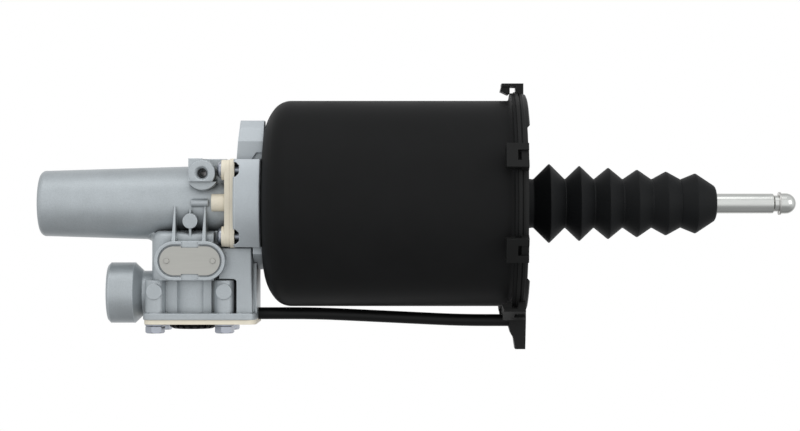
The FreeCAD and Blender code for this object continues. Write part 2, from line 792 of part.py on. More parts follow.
def mounting_casting():
    e = casting_edge
    disc = turned([(0, 0), (0, casting_r - e), (e, casting_r), (casting_t - e, casting_r),
                   (casting_t, casting_r - e), (casting_t, 0)])
    wide = 2 * casting_r
    disc = disc.common(box((-past, -wide, -casting_half_z), (casting_t + past, wide, casting_half_z)))
    lug_x = wall_right_x + soft_gap
    lug = cyl(lower_disc_r, (lug_x, 0, 0), X_DIR, casting_t - lug_x)
    lug = lug.common(box((0, -lower_half_y, -wide), (casting_t, lower_half_y, 0)))
    lug = lug.cut(box((0, -wide, -wide), (foot_right_x + soft_gap, wide, foot_step_z + soft_gap)))
    body = fuse(disc, upper_ear(), lug)
    sleeve_top = air_sleeve_in_casting + soft_gap
    tools = [cyl(plunger_r + plunger_hole_gap, (-past, 0, 0), X_DIR, casting_t + 2 * past),
             cyl(seal_pack_r, (-past, 0, 0), X_DIR, seal_pack_depth + past),
             ring(oring_mean_r + oring_groove_r, oring_mean_r - oring_groove_r, (-past, 0, 0), X_DIR,
                  past + 2 * oring_groove_r),
             cyl(air_way_r, (air_sleeve_x, 0, -casting_half_z), Z_DIR, air_way_z + casting_half_z),
             cyl(air_sleeve_r + seat_gap, (air_sleeve_x, 0, -casting_half_z - past), Z_DIR,
                 sleeve_top + past),
             cyl(air_way_r, (air_sleeve_x - air_way_r, 0, air_way_z), X_DIR, casting_t),
             cyl(ear_seat_r, (-past, 0, mount_circle_r), X_DIR, ear_seat_x + past)]
    for y, z in ((0, mount_circle_r), (mount_circle_r, 0), (-mount_circle_r, 0)):
        tools.append(cyl(mount_hole_r, (-past, y, z), X_DIR, mount_hole_depth + past))
    tools += joint_screw_holes(-past, joint_screw_length + joint_left_x + past + 1, m6_r + seat_gap)
    for z in (-joint_screw_z, joint_screw_z):
        notch = screw_notch(z)
        tools += [notch, mirrored(notch)]
    depth = shell_screw_length - shell_wall + 1
    for y, z in shell_screw_places():
        tools.append(cyl(shell_screw_r + seat_gap, (casting_t - depth, y, z), X_DIR, depth + past))
    return body.cut(tools)


def cylinder_shell():
    """A drawn steel pot: flat end, two-arc shoulder, plain wall, flared rim with a flange."""
    a = shoulder_length
    b = shoulder_height
    small = shoulder_corner_r
    large = (a * a + b * b - 2 * b * small) / (2 * (a - small))
    c_small = V(casting_t + a, 0, shell_r - small)
    c_large = V(casting_t + large, 0, shell_r - b)
    out = c_small - c_large
    out.normalize()
    skins = []
    for inset in (0, shell_wall):
        flat = V(casting_t + inset, 0, shell_r - b)
        knee = c_small + out * (small - inset)
        rim = V(casting_t + a, 0, shell_r - inset)
        skins.append((flat, rim, [arc_about(c_large, flat, knee), arc_about(c_small, knee, rim)]))
    (o_flat, o_rim, o_arcs), (i_flat, i_rim, i_arcs) = skins
    f = shell_flare_r
    flare_x = shell_end_x - shell_flange_t - f
    flare = V(flare_x, 0, shell_r)
    corners = [V(flare_x + f, 0, shell_r + f), V(flare_x + f, 0, shell_flange_r),
               V(shell_end_x, 0, shell_flange_r), V(shell_end_x, 0, shell_inner_r), i_rim]
    edges = [Part.makeLine(V(casting_t, 0, shell_hole_r), o_flat)] + o_arcs + [Part.makeLine(o_rim, flare)]
    edges.append(arc_about(V(flare_x, 0, shell_r + f), flare, corners[0]))
    for start, end in zip(corners, corners[1:]):
        edges.append(Part.makeLine(start, end))
    edges += i_arcs
    edges.append(Part.makeLine(i_flat, V(casting_t + shell_wall, 0, shell_hole_r)))
    edges.append(Part.makeLine(V(casting_t + shell_wall, 0, shell_hole_r), V(casting_t, 0, shell_hole_r)))
    shell = turned_edges(edges)
    holes = [cyl(shell_screw_r + screw_gap, (casting_t - past, y, z), X_DIR, shell_wall + 2 * past)
             for y, z in shell_screw_places()]
    holes.append(cyl(air_way_r, (casting_t - past, 0, air_way_z), X_DIR, shell_wall + 2 * past))
    return shell.cut(holes)


def shell_screws():
    head_x = casting_t + shell_wall
    made = []
    for y, z in shell_screw_places():
        shank = cyl(shell_screw_r, (head_x - shell_screw_length, y, z), X_DIR, shell_screw_length)
        head = cyl(shell_screw_head_r, (head_x, y, z), X_DIR, shell_screw_head_t)
        socket = hex_along(screw_socket_flats, (head_x + shell_screw_head_t - 1.5, y, z), X_DIR, 2, 0)
        made.append(fuse(shank, head).cut(socket))
    return Part.makeCompound(made)


def clip(angle):
    """One snap clip: a tab with an open slot, a bridge to the rim and a hook that leans inwards."""
    half = clip_width / 2
    slot = clip_slot_width / 2
    back = cover_front_x - clip_reach
    tab = box((back, -clip_outer_r, -half), (cover_front_x, -clip_inner_r, half))
    tab = tab.cut(box((cover_front_x - clip_slot_length, -clip_outer_r - past, -slot),
                      (cover_front_x + past, -clip_inner_r + past, slot)))
    tip = -clip_inner_r + hook_depth
    corners = [V(back, -clip_inner_r - 0.5, 0), V(back - 0.8, -clip_inner_r + hook_depth * 0.55, 0),
               V(back + hook_length - 1.0, tip, 0), V(back + hook_length, tip - 0.8, 0),
               V(back + hook_length, -clip_inner_r - 0.5, 0)]
    hook = prism(corners, V(0, 0, clip_width - 2 * hook_side))
    hook.translate(V(0, 0, hook_side - half))
    bridge = box((cover_front_x - clip_bridge_t, -clip_inner_r - 0.6, -half),
                 (cover_front_x, -cover_r + 3, half))
    body = fuse(tab, hook, bridge)
    body.rotate(V(0, 0, 0), X_DIR, -angle)
    return body


def vent_foot():
    """The foot under the cover that takes the vent tube."""
    back = cover_back_x - foot_back
    front = cover_front_x + foot_front
    top = -(cover_r - 6)
    cheek_top = tube_front_z + tube_r * 0.7
    bottom = -(cover_r + foot_drop)
    cheek = tube_front_z - foot_cheek
    outline = [V(back, 0, cheek_top), V(back, 0, cheek), V(back + 1.0, 0, cheek - 3.4),
               V(cover_back_x, 0, -(cover_r + foot_waist) - 3.5), V(cover_back_x + foot_tip_back, 0, bottom),
               V(cover_back_x + foot_tip_front, 0, bottom), V(front, 0, tube_front_z), V(front, 0, top),
               V(cover_back_x, 0, top), V(cover_back_x, 0, cheek_top)]
    body = prism(outline, V(0, 2 * foot_half_y, 0))
    body.translate(V(0, -foot_half_y, 0))
    return body


def front_cover():
    rim = cover_r
    lip_end = cover_back_x + cover_lip_w
    groove_end = lip_end + cover_groove_w
    disc = turned([
        (cover_back_x, cover_mouth_r), (cover_back_x, rim), (lip_end, rim), (lip_end, rim - cover_groove_d),
        (groove_end, rim - cover_groove_d), (groove_end, rim - 0.3), (cover_front_x - cover_edge, rim - 0.3),
        (cover_front_x, rim - cover_edge), (cover_front_x, cover_mouth_r)])
    pad_front = cover_front_x + cover_pad_t
    pad = turned([
        (cover_front_x - 1, boot_collar_r), (cover_front_x - 1, rim - 0.7),
        (pad_front - cover_pad_edge, rim - 0.7),
        (pad_front - cover_pad_edge * 0.3, rim - cover_pad_edge * 0.6),
        (pad_front, rim - cover_pad_edge - 0.7), (pad_front, boot_collar_r)])
    bevel = cover_pad_t + 1
    low = cover_front_x - 1
    corners = [V(low, 0, cover_pad_z - 1), V(low + bevel, 0, cover_pad_z - 1 + bevel),
               V(low + bevel, 0, 2 * rim), V(low, 0, 2 * rim)]
    window = prism(corners, V(0, 4 * rim, 0))
    window.translate(V(0, -2 * rim, 0))
    segment = pad.common(window)
    spigot = ring(shell_inner_r - seat_gap, shell_inner_r - cover_spigot_t,
                  (cover_back_x - cover_spigot_depth, 0, 0), X_DIR, cover_spigot_depth + 1)
    collar = ring(boot_collar_r, boot_cuff_r + seat_gap, (cover_front_x - 1, 0, 0), X_DIR, 1 + boot_collar_h)
    made = [disc, segment, segment.mirror(V(0, 0, 0), Z_DIR), spigot, collar, vent_foot()]
    for i in range(cover_rib_count):
        rib = box((cover_back_x - cover_spigot_depth + 0.4, cover_rib_inner_r, -cover_rib_t / 2),
                  (cover_back_x + 1, shell_inner_r - 1.5, cover_rib_t / 2))
        rib.rotate(V(0, 0, 0), X_DIR, 360 * i / cover_rib_count)
        made.append(rib)
    made += [clip(a) for a in clip_angles]
    socket = cyl(tube_r + seat_gap, (cover_back_x - foot_back - past, 0, tube_front_z), X_DIR,
                 foot_back + tube_socket_depth + past)
    groove = ring(boot_cuff_r + seat_gap, boot_cuff_r - boot_wall - soft_gap,
                  (cover_front_x - boot_cuff_seat - soft_gap, 0, 0), X_DIR, boot_cuff_seat + 5)
    return fuse(*made).cut([socket, groove])


def vent_tube():
    """A stiff plastic pipe: two level runs joined by a shallow slope with large bends."""
    start_x = tube_start_x + soft_gap
    end_x = cover_back_x + tube_socket_depth - soft_gap
    drop = tube_rear_z - tube_front_z
    bend_start = foot_right_x + tube_rear_run
    bend_end = shell_end_x - tube_front_run
    run = bend_end - bend_start
    bend_r = tube_bend_share * (run * run + drop * drop) / (4 * drop)
    turn = 2 * math.atan2(drop, run)
    for i in range(40):
        turn = math.atan((drop - 2 * bend_r * (1 - math.cos(turn))) / (run - 2 * bend_r * math.sin(turn)))
    dx = bend_r * math.sin(turn)
    dz = bend_r * (1 - math.cos(turn))
    half_x = bend_r * math.sin(turn / 2)
    half_z = bend_r * (1 - math.cos(turn / 2))
    a = V(bend_start, 0, tube_rear_z)
    b = V(bend_start + dx, 0, tube_rear_z - dz)
    c = V(bend_end - dx, 0, tube_front_z + dz)
    d = V(bend_end, 0, tube_front_z)
    path = Part.Wire([
        Part.makeLine(V(start_x, 0, tube_rear_z), a),
        Part.Arc(a, V(bend_start + half_x, 0, tube_rear_z - half_z), b).toShape(),
        Part.makeLine(b, c),
        Part.Arc(c, V(bend_end - half_x, 0, tube_front_z + half_z), d).toShape(),
        Part.makeLine(d, V(end_x, 0, tube_front_z)),
    ])
    skins = []
    for r in (tube_r, tube_bore_r):
        section = Part.Wire(Part.makeCircle(r, V(start_x, 0, tube_rear_z), X_DIR))
        skins.append(path.makePipeShell([section], True, False))
    return skins[0].cut(skins[1])


def boot_outline(inset):
    """Corners (x, r) of the bellows, drawn inwards by inset."""
    corners = [(cover_front_x - boot_cuff_seat, boot_cuff_r - inset),
               (cover_front_x + 1.4, boot_cuff_r - inset)]
    valleys = [boot_start_x]
    valleys += [boot_start_x + boot_first_pitch + i * boot_pitch for i in range(boot_folds - 1)]
    for i in range(boot_folds):
        share = i / (boot_folds - 1)
        apex = boot_first_apex_r + (boot_last_apex_r - boot_first_apex_r) * share
        half = boot_last_half if i == boot_folds - 1 else (valleys[i + 1] - valleys[i]) / 2
        corners.append((valleys[i], boot_valley_r - inset))
        corners.append((valleys[i] + half, apex - inset * 1.4))
    return corners


def bellows():
    end = boot_end_x
    hole = rod_r + soft_gap
    outer = boot_outline(0)
    outer += [(end - 1.0, boot_nose_r), (end - 0.2, boot_nose_r - 1.6), (end, boot_nose_r - 2.8), (end, hole)]
    inner = boot_outline(boot_wall)
    inner += [(end - 4.4, boot_nose_r - 0.6), (end - 4.4, hole)]
    return turned(outer + inner[::-1])


def push_rod():
    head = rod_tip_x - rod_tip_r
    groove_right = head - rod_head_w
    groove_left = groove_right - rod_groove_w
    neck_end = ball_x + rod_neck_length
    profile = turned([
        (ball_x, 0), (ball_x, rod_neck_r), (neck_end - 1.5, rod_neck_r), (neck_end, rod_r),
        (groove_left - 1.1, rod_r), (groove_left, rod_groove_r), (groove_right, rod_groove_r),
        (groove_right, rod_tip_r), (head, rod_tip_r), (head, 0)])
    tip = Part.makeSphere(rod_tip_r, V(head, 0, 0), X_DIR, 0, 90, 360)
    ball = Part.makeSphere(rod_ball_r, V(ball_x, 0, 0))
    return fuse(profile, tip, ball)


def rod_tip_ring():
    groove_right = rod_tip_x - rod_tip_r - rod_head_w
    body = ring(tip_ring_r, rod_groove_r + seat_gap, (groove_right - tip_ring_t - seat_gap, 0, 0), X_DIR,
                tip_ring_t)
    half = tip_ring_split / 2
    return body.cut(box((groove_right - 2 * tip_ring_t - past, -half, -tip_ring_r - past),
                        (groove_right + past, half, 0)))


def power_piston():
    x0 = piston_back_x
    x1 = piston_front_x
    web_front_x = web_back_x + piston_web_t
    inner_rim = piston_r - piston_rim_t
    hub_front_x = x1 - piston_hub_drop
    body = turned([
        (x0, inner_rim), (x0, piston_r - 1), (x0 + 1, piston_r), (x1 - 1, piston_r), (x1, piston_r - 1),
        (x1, inner_rim), (web_front_x, inner_rim - 3), (web_front_x + 2, piston_hub_r + 3),
        (hub_front_x, piston_hub_r), (hub_front_x, 0), (plunger_end_x, 0), (plunger_end_x, plunger_r + 2),
        (web_back_x, piston_hub_r + 2), (web_back_x, inner_rim - 3)])
    ribs = []
    for i in range(piston_rib_count):
        rib = box((web_front_x - 1, piston_hub_r - 2, -piston_rib_t / 2),
                  (hub_front_x - 1, inner_rim + 1, piston_rib_t / 2))
        rib.rotate(V(0, 0, 0), X_DIR, 360 * (i + 0.5) / piston_rib_count)
        ribs.append(rib)
    body = fuse(body, *ribs)
    seat_r = rod_ball_r + soft_gap
    return body.cut([
        ring(piston_r + past, piston_r - seal_groove_d, (x0 + seal_groove_back, 0, 0), X_DIR, seal_groove_w),
        ring(piston_r + past, piston_r - guide_groove_d, (x1 - guide_groove_front - guide_groove_w, 0, 0),
             X_DIR, guide_groove_w),
        Part.makeSphere(seat_r, V(ball_x, 0, 0)),
        cyl(seat_r, (ball_x, 0, 0), X_DIR, retainer_offset + past),
        cyl(retainer_r, (ball_x + retainer_offset, 0, 0), X_DIR, ball_setback),
        cyl(plunger_stub_r + screw_gap, (plunger_end_x - past, 0, 0), X_DIR,
            plunger_stub_length + past + soft_gap),
    ])


def ball_retainer():
    x0 = ball_x + retainer_offset
    body = ring(retainer_r - seat_gap, retainer_hole_r, (x0, 0, 0), X_DIR, retainer_t)
    mouth = Part.makeCone(retainer_hole_r, retainer_hole_r + 2.1, 3.0, V(x0 + retainer_t - 3.0, 0, 0), X_DIR)
    return body.cut([Part.makeSphere(rod_ball_r + soft_gap, V(ball_x, 0, 0)), mouth])


def piston_lip_seal():
    x0 = piston_back_x + seal_groove_back
    low = piston_r - seal_groove_d + seat_gap
    lip = shell_inner_r - seal_gap
    end = x0 + seal_groove_w - 0.2
    return turned([
        (x0 + 0.2, lip - 0.6), (x0 + 0.2, lip), (x0 + 1.6, lip - 0.3), (end, lip - 1.0), (end, low),
        (x0 + 0.4, low), (x0 + 0.4, low + 1.0), (x0 + 2.6, low + 1.4), (x0 + 2.4, lip - 1.6)])


def piston_guide_ring():
    x0 = piston_front_x - guide_groove_front - guide_groove_w
    return ring(shell_inner_r - seal_gap, piston_r - guide_groove_d + seat_gap,
                (x0 + seat_gap, 0, 0), X_DIR, guide_groove_w - 2 * seat_gap)


def plunger():
    stub_end = plunger_end_x + plunger_stub_length
    return turned([(plunger_tip_x, 0), (plunger_tip_x, plunger_r - plunger_chamfer),
                   (plunger_tip_x + plunger_chamfer, plunger_r), (plunger_end_x, plunger_r),
                   (plunger_end_x, plunger_stub_r), (stub_end, plunger_stub_r), (stub_end, 0)])


def plunger_cup_seal():
    inner = plunger_r + seal_gap
    outer = seal_pack_r - seat_gap
    tip = seal_pack_gap
    end = tip + cup_seal_length
    floor = end - cup_floor_t
    deep = cup_lip_t * 1.5
    return turned([(tip, outer - cup_lip_t), (tip, outer), (end, outer), (end, inner), (tip, inner),
                   (tip, inner + cup_lip_t), (floor, inner + deep), (floor, outer - deep)])


def plunger_guide_bush():
    start = cup_seal_length + 2 * seal_pack_gap
    return ring(seal_pack_r - seat_gap, plunger_r + seal_gap * 0.6, (start, 0, 0), X_DIR,
                seal_pack_depth - seal_gap - start)


def preload_spring():
    start = casting_t + shell_wall + spring_wire_r + seal_gap
    end = web_back_x - spring_wire_r - seal_gap
    spring = coil(spring_mean_r, spring_wire_r, spring_turns, end - start, start)
    spring.rotate(V(0, 0, 0), Y_DIR, 90)
    return spring


def air_sleeve():
    bottom = chest_top_z - air_sleeve_in_chest + soft_gap
    return ring(air_sleeve_r, air_way_r, (air_sleeve_x, 0, bottom), Z_DIR,
                air_sleeve_in_casting - casting_half_z - bottom)


def pilot_piston():
    head_r = pilot_bore_r - seal_gap
    flange_r = valve_bore_r - seal_gap
    flange_low = pilot_flange_z - pilot_flange_t
    waist_r = pilot_bore_r - 1.2
    body = turned_upright([
        (pilot_top, 0), (pilot_top, head_r - 0.6), (pilot_top - 0.6, head_r),
        (pilot_bore_bottom + 2.0, head_r), (pilot_bore_bottom + 1.0, waist_r), (pilot_flange_z, waist_r),
        (pilot_flange_z, flange_r), (flange_low, flange_r), (flange_low, nose_r),
        (nose_bottom + 0.6, nose_r), (nose_bottom, nose_r - 0.6), (nose_bottom, stem_bore_r),
        (nose_bottom + 6, stem_bore_r), (nose_bottom + 6, 0)], valve_x)
    head_groove = ring(pilot_bore_r + past, pilot_bore_r - 1.6, (valve_x, 0, pilot_top - 5.0), Z_DIR, 2.2)
    flange_groove = ring(valve_bore_r + past, valve_bore_r - 1.5, (valve_x, 0, pilot_flange_z - 2.2),
                         Z_DIR, 1.6)
    return body.cut([head_groove, flange_groove])


def pilot_seals():
    upper = ring(pilot_bore_r - seat_gap, pilot_bore_r - 1.55, (valve_x, 0, pilot_top - 4.9), Z_DIR, 2.0)
    lower = ring(valve_bore_r - seat_gap, valve_bore_r - 1.45, (valve_x, 0, pilot_flange_z - 2.1), Z_DIR, 1.4)
    return Part.makeCompound([upper, lower])


def valve_seat():
    return ring(valve_bore_r - seat_gap, seat_hole_r, (valve_x, 0, seat_bottom), Z_DIR,
                seat_top - seat_bottom)


def inlet_valve():
    top = seat_bottom - seal_gap
    return turned_upright([
        (top, stem_bore_r), (top, disc_r), (top - disc_t, disc_r), (top - disc_t, stem_r),
        (stem_bottom, stem_r), (stem_bottom, stem_bore_r)], valve_x)


def valve_guide():
    bottom = flange_bottom_z + seal_gap
    body = ring(valve_bore_r - seat_gap, stem_r + 0.06, (valve_x, 0, bottom), Z_DIR, guide_top - bottom)
    return body.cut(ring(valve_bore_r - 1.6, stem_r + 1.6, (valve_x, 0, bottom - past), Z_DIR, past + 2.2))


def pilot_spring():
    start = seat_top + valve_spring_wire_r + seat_gap
    end = pilot_flange_z - pilot_flange_t - valve_spring_wire_r - seat_gap
    spring = coil(pilot_spring_r, valve_spring_wire_r, valve_spring_turns, end - start, start)
    spring.translate(V(valve_x, 0, 0))
    return spring


def inlet_spring():
    start = guide_top + valve_spring_wire_r + seat_gap
    end = seat_bottom - seal_gap - disc_t - valve_spring_wire_r - seat_gap
    spring = coil(inlet_spring_r, valve_spring_wire_r, valve_spring_turns, end - start, start)
    spring.translate(V(valve_x, 0, 0))
    return spring


def valve_base_plate():
    plate = plate_z(flange_left_x + base_plate_inset, foot_right_x, flange_half_y - base_plate_inset,
                    flange_corner_r - base_plate_inset, base_bottom_z, base_top_z)
    tools = [cyl(silencer_plug_r, (valve_x, 0, base_bottom_z - past), Z_DIR, base_plate_t + 2 * past),
             cyl(tube_r + seat_gap, (tube_start_x, 0, tube_rear_z), X_DIR, tube_seat + 2 * past)]
    for x in valve_screw_xs:
        for side in (-1, 1):
            tools.append(cyl(m6_r + screw_gap, (x, side * valve_screw_y, base_bottom_z - past), Z_DIR,
                             base_plate_t + 2 * past))
    return plate.cut(tools)


def valve_screws():
    head_z = base_bottom_z - screw_collar_t - hex_height
    collar = Part.makeCone(screw_collar_r - 0.9, screw_collar_r, screw_collar_t * 0.5,
                           V(0, 0, base_bottom_z - screw_collar_t), Z_DIR)
    rim = cyl(screw_collar_r, (0, 0, base_bottom_z - screw_collar_t * 0.5), Z_DIR, screw_collar_t * 0.5)
    head = hex_along(hex_flats, (0, 0, head_z), Z_DIR, hex_height, hex_turn_deg)
    bevel = Part.makeCone(hex_flats * 0.5, hex_flats * 0.62, 1.0, V(0, 0, head_z), Z_DIR)
    rest = cyl(hex_flats, (0, 0, head_z + 1.0), Z_DIR, hex_height)
    shank = cyl(m6_r, (0, 0, base_bottom_z - 0.5), Z_DIR, valve_screw_length)
    screw = fuse(collar, rim, head.common(fuse(bevel, rest)), shank)
    made = []
    for x in valve_screw_xs:
        for side in (-1, 1):
            one = screw.copy()
            one.translate(V(x, side * valve_screw_y, 0))
            made.append(one)
    return Part.makeCompound(made)


def exhaust_silencer():
    """The round silencer with a notched rim and four holes under its flap."""
    top = base_bottom_z
    low = top - silencer_h
    floor = low + silencer_floor
    body = turned_upright([(top, 0), (top, silencer_r), (low + 1.2, silencer_r), (low, silencer_r - 2.2),
                           (low, 0)], 0)
    body = fuse(body, cyl(silencer_plug_r - seat_gap, (0, 0, top - 0.5), Z_DIR, base_plate_t + 0.3))
    cuts = [cyl(flap_r + soft_gap, (0, 0, floor), Z_DIR, silencer_h + base_plate_t)]
    for i in range(4):
        hole = cyl(1.0, (2.6, 0, low - past), Z_DIR, silencer_h)
        hole.rotate(V(0, 0, 0), Z_DIR, 90 * i)
        cuts.append(hole)
    for i in range(silencer_ribs):
        notch = box((silencer_r - 2.0, -silencer_rib_gap / 2, low - past),
                    (silencer_r + past, silencer_rib_gap / 2, top - 0.9))
        notch.rotate(V(0, 0, 0), Z_DIR, 360 * i / silencer_ribs)
        cuts.append(notch)
    body = body.cut(cuts)
    body.translate(V(valve_x, 0, 0))
    return body


def exhaust_flap():
    floor = base_bottom_z - silencer_h + silencer_floor
    return cyl(flap_r, (valve_x, 0, floor + seat_gap), Z_DIR, flap_t)


def name_plate():
    face = -plate_boss_y
    plate = stadium(name_plate_length, name_plate_r, face - name_plate_t, face, plate_boss_x, plate_boss_z)
    half = plate_notch / 2
    cuts = [box((plate_boss_x - half, face - name_plate_t - past, plate_boss_z + s * name_plate_r - 0.8),
                (plate_boss_x + half, face + past, plate_boss_z + s * name_plate_r + 0.8)) for s in (-1, 1)]
    cuts += [cyl(rivet_shank_r + seat_gap, (x, face - name_plate_t - past, plate_boss_z), Y_DIR, 4)
             for x in rivet_xs]
    return plate.cut(cuts)


def name_plate_rivets():
    face = -plate_boss_y - name_plate_t
    made = []
    for x in rivet_xs:
        head = Part.makeSphere(rivet_r, V(x, face, plate_boss_z), V(0, -1, 0), 0, 90, 360)
        head = head.common(box((x - rivet_r, face - 0.8, plate_boss_z - rivet_r),
                               (x + rivet_r, face, plate_boss_z + rivet_r)))
        shank = cyl(rivet_shank_r, (x, face - 0.1, plate_boss_z), Y_DIR, name_plate_t + rivet_shank_length)
        made.append(fuse(head, shank))
    return Part.makeCompound(made)


def main():
    os.makedirs("parts", exist_ok=True)
    for make in (servo_housing, joint_flange, spacer_plate, joint_screws, joint_oring, mounting_casting,
                 cylinder_shell, shell_screws, front_cover, vent_tube, bellows, push_rod, rod_tip_ring,
                 power_piston, ball_retainer, piston_lip_seal, piston_guide_ring, plunger, plunger_cup_seal,
                 plunger_guide_bush, preload_spring, air_sleeve, pilot_piston, pilot_seals, valve_seat,
                 inlet_valve, valve_guide, pilot_spring, inlet_spring, valve_base_plate, valve_screws,
                 exhaust_silencer, exhaust_flap, name_plate, name_plate_rivets):
        save(make.__name__, make())


main()
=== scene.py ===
import math

import bmesh
import bpy
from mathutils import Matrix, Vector


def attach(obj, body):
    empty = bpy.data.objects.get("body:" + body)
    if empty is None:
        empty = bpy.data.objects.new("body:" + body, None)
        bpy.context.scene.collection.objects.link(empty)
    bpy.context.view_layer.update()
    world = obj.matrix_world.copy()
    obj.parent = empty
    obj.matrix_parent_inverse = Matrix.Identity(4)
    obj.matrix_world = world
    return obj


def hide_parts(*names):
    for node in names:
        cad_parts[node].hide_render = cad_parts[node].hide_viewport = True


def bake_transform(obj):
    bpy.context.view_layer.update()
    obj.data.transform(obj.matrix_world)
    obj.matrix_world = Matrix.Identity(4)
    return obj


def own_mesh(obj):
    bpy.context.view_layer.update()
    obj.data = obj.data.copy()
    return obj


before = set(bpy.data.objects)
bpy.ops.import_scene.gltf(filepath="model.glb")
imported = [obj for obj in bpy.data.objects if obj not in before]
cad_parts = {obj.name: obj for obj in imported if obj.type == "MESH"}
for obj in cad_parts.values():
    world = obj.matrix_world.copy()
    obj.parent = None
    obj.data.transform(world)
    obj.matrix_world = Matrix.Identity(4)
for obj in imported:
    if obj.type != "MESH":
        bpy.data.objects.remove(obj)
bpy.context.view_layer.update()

# Lengths are in metres, in the frame of the CAD model:
# +X towards the push rod, +Z away from the relay valve, -Y towards the camera.

scene = bpy.context.scene
scene.view_settings.view_transform = "Standard"

CAMERA_AT = (0.0970, -1.260, -0.0072)
CAMERA_LENS = 94.5

# name, location, target, width, height, power in watts
LAMPS = (
    ("key", (0.05, -0.52, 1.25), (0.09, 0, 0), 1.0, 0.6, 1.85),
    ("fill", (0.3, -1.9, 0.3), (0.1, 0, 0), 3.2, 2.4, 4.0),
    ("side", (1.1, -0.7, 0.25), (0.23, 0, 0), 0.7, 0.7, 1.6),
)
SKY_COLOUR = (0.965, 0.985, 1.0, 1)
FLOOR_COLOUR = (0.93, 0.93, 0.925, 1)
FLOOR_Z = -1.6
FLOOR_REACH = 10.0

# Distances within which neighbours darken a surface with painted shade: thin outlines, and deep bores
OUTLINE_SHADE_REACH = 0.0017
HOLLOW_SHADE_REACH = 0.012
# Colour of the painted shade in creases, outlines and bores
PAINTED_SHADE_COLOUR = (0.10, 0.105, 0.11)
GRAIN_DEPTH = 0.0002
SHEEN_SPREAD = 0.08

# The bellows, the same as its CAD solid
COVER_FACE = 0.1706
VALLEYS = (0.1768, 0.1958, 0.2131, 0.2304, 0.2477, 0.2650)
APEX_R = (0.0239, 0.02274, 0.02158, 0.02042, 0.01926, 0.0181)
LAST_APEX = 0.2739
VALLEY_R = 0.0145
CUFF_R = 0.0152
NOSE_X = 0.2853
NOSE_R = 0.0106
END_X = 0.2863
LIP = 0.0044
HOLE_R = 0.0063
WALL = 0.0016
SLANT_WALL = 1.4 * WALL
FOLD_ROUNDING = 0.0007
INNER_ROUNDING = 0.0005
SEAM_GAP = 0.0001

# name, CAD node, first wire's middle, axis, mean radius, wire radius, turns, length, joint, fixed end, kept share
SPRINGS = (
    ("preload_coil", "preload_spring", (0.0199, 0, 0), (1, 0, 0), 0.0335, 0.0018, 4, 0.1245,
     "piston_slide", (0.0180, 0, 0), 0.4934),
    ("pilot_coil", "pilot_spring", (-0.0270, 0, -0.05285), (0, 0, 1), 0.0072, 0.0004, 2, 0.0044,
     "pilot_piston_slide", (-0.0270, 0, -0.0533), 0.43),
    ("inlet_coil", "inlet_spring", (-0.0270, 0, -0.06155), (0, 0, 1), 0.0048, 0.0004, 2, 0.0031,
     "inlet_valve_slide", (-0.0270, 0, -0.0620), 0.49),
)

# name, first ridge, direction inwards, core radius, pitch, length, ridge height
THREADS = (
    ("bleed_port_thread", (-0.0192, -0.0288, 0.0176), (0, 1, 0), 0.0034, 0.00125, 0.0075, 0.0005),
    ("fluid_port_thread", (-0.0192, 0.0292, 0.0176), (0, -1, 0), 0.0052, 0.0015, 0.009, 0.0007),
    ("air_port_thread", (-0.0766, 0, -0.0534), (1, 0, 0), 0.0102, 0.0015, 0.0135, 0.0008),
)

# The raised land round the bleed port, cut off level with the step in the boss below it
LAND_CENTRE = (-0.0192, -0.0300, 0.0176)
LAND_INNER_R = 0.0041
LAND_OUTER_R = 0.0077
LAND_HEIGHT = 0.0004
LAND_ROUNDING = 0.0003
LAND_LOWEST_Z = 0.0128

# The fillet between the barrel's underside and the left wall of the valve chest
CHEST_WALL_X = -0.0495
BARREL_R = 0.02157
BARREL_TAPER = 0.0306
FILLET_R = 0.0052
FILLET_SPREAD = math.radians(37)
FILLET_ROOT = 0.003

# How far the feet of added details reach into the metal that they stand on
SUNK = 0.0001
FILLET_SUNK = 0.0006
RIDGE_SUNK = 0.00008


# Camera, light and floor

def place_camera():
    data = bpy.data.cameras.new("camera")
    data.lens = CAMERA_LENS
    data.sensor_width = 36.0
    data.clip_end = 20.0
    camera = bpy.data.objects.new("camera", data)
    camera.location = CAMERA_AT
    camera.rotation_euler = (math.radians(90), 0, 0)
    scene.collection.objects.link(camera)
    scene.camera = camera


def area_light(name, location, target, width, height, power):
    data = bpy.data.lights.new(name, "AREA")
    data.shape = "RECTANGLE"
    data.size = width
    data.size_y = height
    data.energy = power
    lamp = bpy.data.objects.new(name, data)
    lamp.location = location
    direction = Vector(target) - Vector(location)
    lamp.rotation_euler = direction.to_track_quat("-Z", "Y").to_euler()
    scene.collection.objects.link(lamp)


def span(t, source, low, high, to_low, to_high):
    """A smooth step from one value to another."""
    node = t.nodes.new("ShaderNodeMapRange")
    node.interpolation_type = "SMOOTHSTEP"
    node.inputs["From Min"].default_value = low
    node.inputs["From Max"].default_value = high
    node.inputs["To Min"].default_value = to_low
    node.inputs["To Max"].default_value = to_high
    t.links.new(source, node.inputs["Value"])
    return node.outputs[0]


def maths(t, operation, a, b):
    """Two sockets, or a socket and a number, joined by an operation."""
    node = t.nodes.new("ShaderNodeMath")
    node.operation = operation
    t.links.new(a, node.inputs[0])
    if isinstance(b, float):
        node.inputs[1].default_value = b
    else:
        t.links.new(b, node.inputs[1])
    return node.outputs[0]


